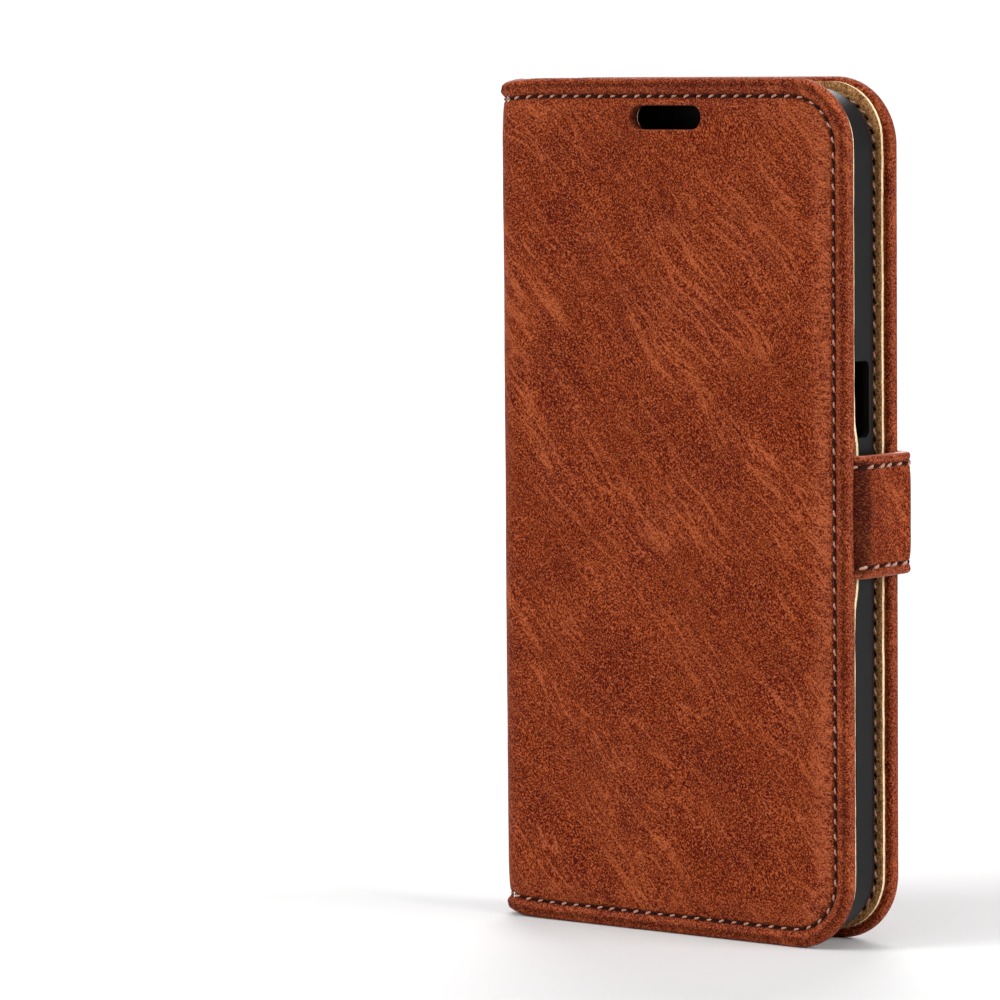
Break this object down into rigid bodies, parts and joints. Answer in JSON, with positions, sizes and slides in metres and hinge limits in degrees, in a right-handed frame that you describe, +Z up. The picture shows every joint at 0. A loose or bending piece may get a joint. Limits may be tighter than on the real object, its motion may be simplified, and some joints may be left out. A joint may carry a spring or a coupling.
{
  "type": "phone wallet case",
  "caption": "Folding leather-look phone wallet case: hard tray, camera window, earpiece slot, card pockets, creased spine and a magnetic closing strap.",
  "frame": {"origin": "on the ground under the closed, standing case, at the middle of the box that it takes up with its strap", "axes": "+Z up the case, from its bottom edge to its top edge; +X from the spine to the free edge; +Y from the front cover to the back cover"},
  "size_m": [0.079, 0.0176, 0.15],
  "materials": {
    "leather": "cognac brown leather-look, creased grain, soft sheen",
    "suede": "tan speckled microfibre suede with cream cut edges",
    "thread": "dusty beige-pink sewing thread",
    "foam": "thin closed-cell foam",
    "board": "grey bookbinding board",
    "tray_plastic": "black satin hard plastic",
    "steel": "thin plated steel",
    "magnet": "nickel-plated magnet",
    "tape": "double-sided adhesive tape"
  },
  "bodies": {
    "back_cover": {"back_leather": "leather", "back_seam_thread": "thread", "back_padding": "foam", "back_board": "board", "keeper_plate": "steel", "back_lining": "suede", "tray_adhesive": "tape", "phone_tray": "tray_plastic"},
    "spine": {"spine_leather": "leather", "spine_seam_thread": "thread", "spine_stiffener": "board", "spine_lining": "suede"},
    "front_cover": {"front_leather": "leather", "front_seam_thread": "thread", "front_padding": "foam", "front_board": "board", "front_lining": "suede", "money_pocket": "suede", "card_pocket_rear": "suede", "card_pocket_middle": "suede", "card_pocket_front": "suede", "strap_tab": "leather"},
    "strap_side": {"strap_side_leather": "leather", "strap_side_lining": "leather", "strap_side_thread": "thread"},
    "strap_tip": {"strap_tip_leather": "leather", "strap_tip_thread": "thread", "strap_tip_lining": "leather", "strap_magnet": "magnet"}
  },
  "joints": [
    {"name": "spine_rear_crease", "type": "hinge", "parent": "back_cover", "child": "spine", "pos_m": [-0.03795, 0.00535, 0.075], "axis": [0, 0, -1], "range_deg": [0, 175], "deforming": ["strap_side_leather", "strap_side_lining", "strap_side_thread", "strap_tip_leather", "strap_tip_thread", "strap_tip_lining", "strap_magnet"]},
    {"name": "spine_front_crease", "type": "hinge", "parent": "spine", "child": "front_cover", "pos_m": [-0.03795, -0.00725, 0.075], "axis": [0, 0, -1], "range_deg": [0, 175], "deforming": ["strap_side_leather", "strap_side_lining", "strap_side_thread", "strap_tip_leather", "strap_tip_thread", "strap_tip_lining", "strap_magnet"]},
    {"name": "strap_root_crease", "type": "hinge", "parent": "front_cover", "child": "strap_side", "pos_m": [0.03865, -0.00665, 0.075], "axis": [0, 0, -1], "range_deg": [0, 175]},
    {"name": "strap_tip_crease", "type": "hinge", "parent": "strap_side", "child": "strap_tip", "pos_m": [0.03865, 0.00795, 0.075], "axis": [0, 0, -1], "range_deg": [0, 90]}
  ]
}
